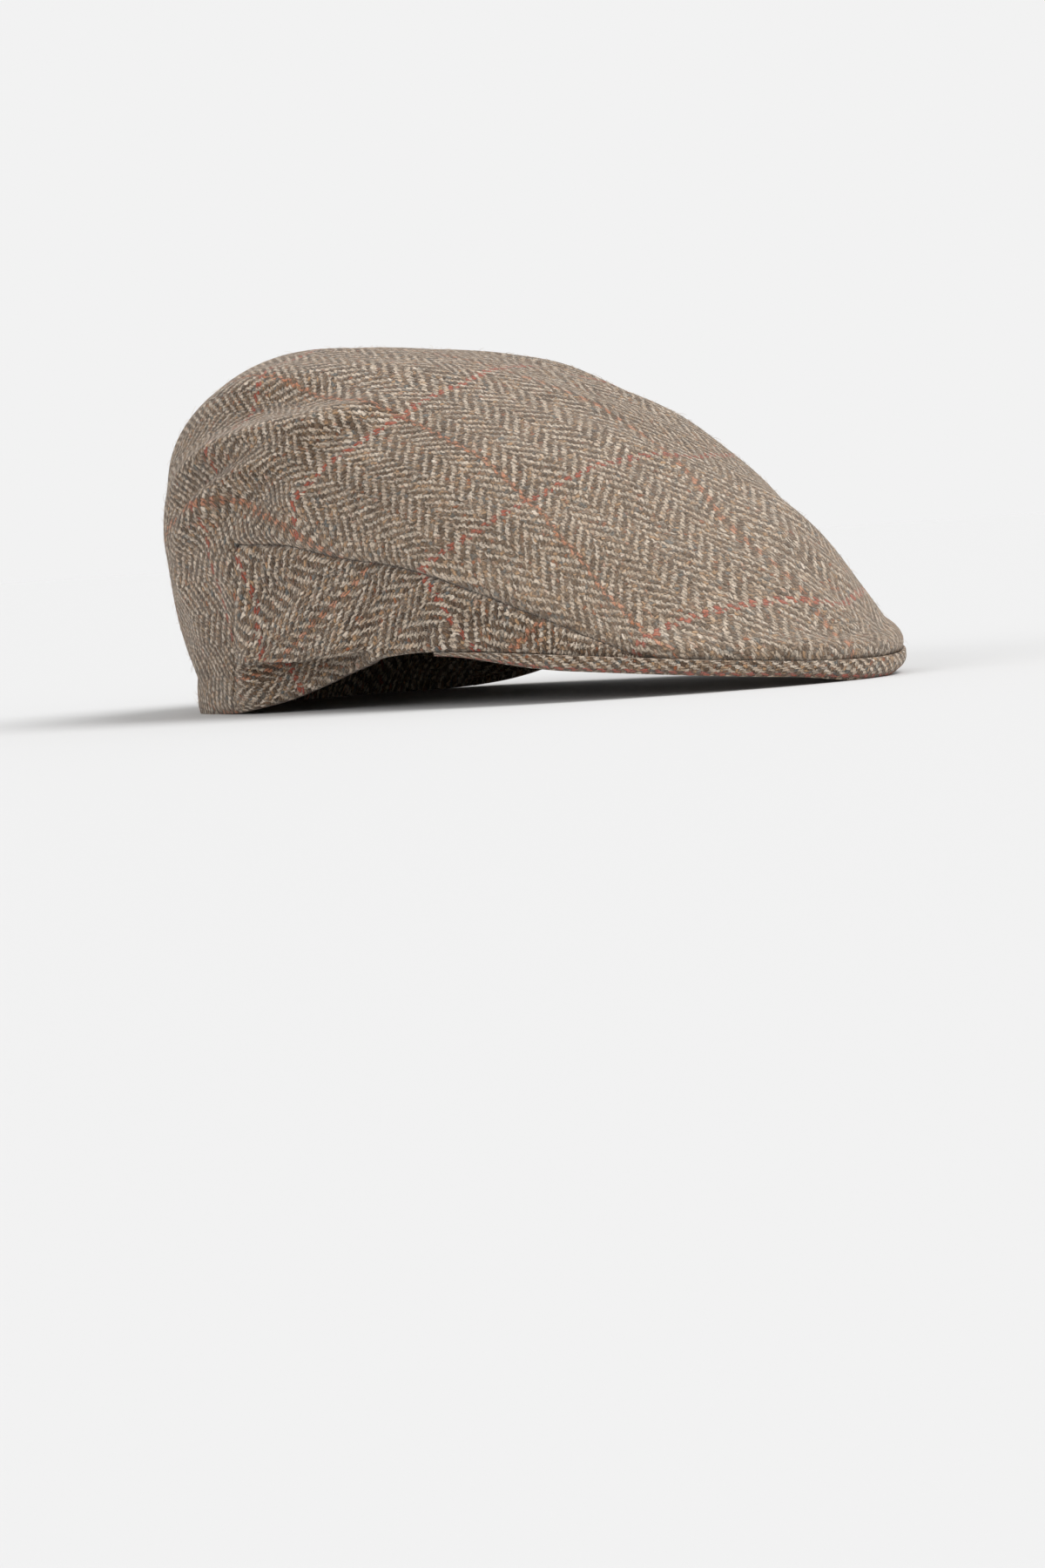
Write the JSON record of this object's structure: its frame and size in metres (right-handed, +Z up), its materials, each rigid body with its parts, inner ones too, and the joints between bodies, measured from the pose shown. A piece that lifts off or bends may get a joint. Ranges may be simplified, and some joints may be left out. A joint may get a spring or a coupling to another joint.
{
  "type": "flat cap",
  "caption": "Flat cap of wool tweed with a one-piece top and back, side panels seamed below it and a stiff peak under its front; the hollow inside is for a head.",
  "frame": {"origin": "middle of the cap's footprint, on the plane that it rests on", "axes": "+Z up from the rim to the top of the crown; -Y toward the front of the peak; -X toward the wearer's right"},
  "size_m": [0.1771, 0.2642, 0.1222],
  "materials": {
    "tweed_top": "matte brushed wool",
    "tweed_side": "matte brushed wool",
    "tweed_peak": "matte brushed wool"
  },
  "bodies": {
    "root": {"crown_panel": "tweed_top", "side_panel_right": "tweed_side", "side_panel_left": "tweed_side", "peak": "tweed_peak"}
  },
  "joints": []
}
